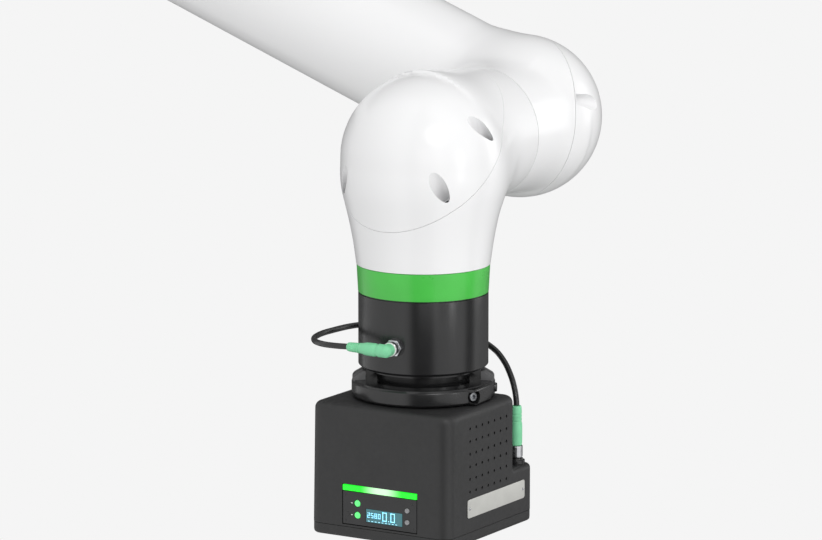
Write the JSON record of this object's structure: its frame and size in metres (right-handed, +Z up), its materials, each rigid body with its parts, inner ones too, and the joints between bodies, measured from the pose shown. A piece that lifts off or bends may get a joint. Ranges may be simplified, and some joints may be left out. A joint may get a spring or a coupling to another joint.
{
  "type": "collaborative robot arm",
  "caption": "Jointed collaborative robot arm with rounded white housings and a box-shaped electric vacuum gripper on its tool flange, joined to the arm by a short plug-in lead.",
  "frame": {"origin": "centre of the base's flat underside, on the axis of joint 1", "axes": "+Z up along joint 1, +X the way the arm reaches at rest, +Y to the arm's left; the wrist and the gripper are on the -Y side"},
  "size_m": [1.1368, 0.302, 0.8529],
  "materials": {
    "white_paint": "smooth satin white powder coat with a soft gloss",
    "green_paint": "satin bright green painted ring",
    "dark_metal": "black anodised alloy with a semi-gloss sheen",
    "bright_metal": "bright nickel-plated metal",
    "gear_steel": "ground gear steel, oiled",
    "motor": "alloy motor frame with lacquered copper windings",
    "plug_plastic": "mint green moulded plug body, softly matte",
    "cable_jacket": "smooth black cable jacket",
    "charcoal_plastic": "dark grey glass-filled plastic with a fine matte texture",
    "panel_plastic": "black overlay with a light border line",
    "display_window": "dark glossy window over a lit blue numeric display",
    "lamp_lens": "lit green lens",
    "button_plastic": "grey moulded push button",
    "label": "blank satin silver-grey rating plate",
    "pump_alloy": "machined alloy",
    "circuit_board": "green circuit board",
    "cup_rubber": "soft blue-grey silicone"
  },
  "bodies": {
    "base": {"base_casting": "white_paint", "connector_panel": "dark_metal", "power_inlet": "dark_metal", "signal_connector": "dark_metal", "earth_stud": "bright_metal", "j1_motor": "motor", "j1_gear_unit": "gear_steel"},
    "turret": {"turret_housing": "white_paint", "turret_cap": "white_paint", "j2_motor": "motor", "j2_gear_unit": "gear_steel"},
    "upper_arm": {"shoulder_housing": "white_paint", "shoulder_cap": "white_paint", "upper_arm_tube": "white_paint", "upper_elbow_housing": "white_paint", "upper_elbow_cap": "white_paint", "j3_motor": "motor", "j3_gear_unit": "gear_steel"},
    "elbow": {"elbow_housing": "white_paint", "elbow_cap": "white_paint", "j4_motor": "motor", "j4_gear_unit": "gear_steel"},
    "forearm": {"forearm_tube": "white_paint", "forearm_knuckle": "white_paint", "knuckle_cap": "white_paint", "j5_motor": "motor", "j5_gear_unit": "gear_steel"},
    "wrist": {"wrist_housing": "white_paint", "wrist_cap": "white_paint", "accent_ring": "green_paint", "j6_motor": "motor", "j6_gear_unit": "gear_steel"},
    "tool": {"flange_collar": "dark_metal", "tool_flange": "bright_metal", "collar_socket": "bright_metal", "elbow_plug_nut": "bright_metal", "elbow_plug": "plug_plastic", "jumper_cable": "cable_jacket", "straight_plug": "plug_plastic", "straight_plug_nut": "bright_metal", "gripper_socket": "dark_metal", "adapter_plate": "dark_metal", "clamp_screw": "bright_metal", "gripper_shell": "charcoal_plastic", "bottom_cover": "charcoal_plastic", "rating_plate": "label", "control_panel": "panel_plastic", "display": "display_window", "status_bar": "lamp_lens", "lamp_upper": "lamp_lens", "lamp_lower": "lamp_lens", "pump_body": "pump_alloy", "pump_motor": "motor", "control_board": "circuit_board", "vacuum_port": "bright_metal", "bellows_cup": "cup_rubber"},
    "key_upper": {"button_upper": "button_plastic"},
    "key_lower": {"button_lower": "button_plastic"}
  },
  "joints": [
    {"name": "j1_base", "type": "hinge", "parent": "base", "child": "turret", "pos_m": [0, 0, 0.119], "axis": [0, 0, 1], "range_deg": [-180, 180]},
    {"name": "j2_shoulder", "type": "hinge", "parent": "turret", "child": "upper_arm", "pos_m": [0, -0.082, 0.245], "axis": [0, 1, 0], "range_deg": [-220, 140]},
    {"name": "j3_elbow", "type": "hinge", "parent": "upper_arm", "child": "elbow", "pos_m": [0.45638, -0.084, 0.78889], "axis": [0, 1, 0], "range_deg": [-230, 65]},
    {"name": "j4_forearm_roll", "type": "hinge", "parent": "elbow", "child": "forearm", "pos_m": [0.54227, 0, 0.75592], "axis": [0.9336, 0, -0.3584], "range_deg": [-190, 190]},
    {"name": "j5_wrist_bend", "type": "hinge", "parent": "forearm", "child": "wrist", "pos_m": [0.96051, -0.063, 0.59537], "axis": [0, 1, 0], "range_deg": [-248, 112]},
    {"name": "j6_flange", "type": "hinge", "parent": "wrist", "child": "tool", "pos_m": [0.96051, -0.14, 0.49687], "axis": [0, 0, -1], "range_deg": [-190, 190]},
    {"name": "upper_button_press", "type": "slide", "parent": "tool", "child": "key_upper", "axis": [0, 1, 0], "range_m": [0, 0.0006], "stiffness_N_per_m": 900},
    {"name": "lower_button_press", "type": "slide", "parent": "tool", "child": "key_lower", "axis": [0, 1, 0], "range_m": [0, 0.0006], "stiffness_N_per_m": 900}
  ]
}
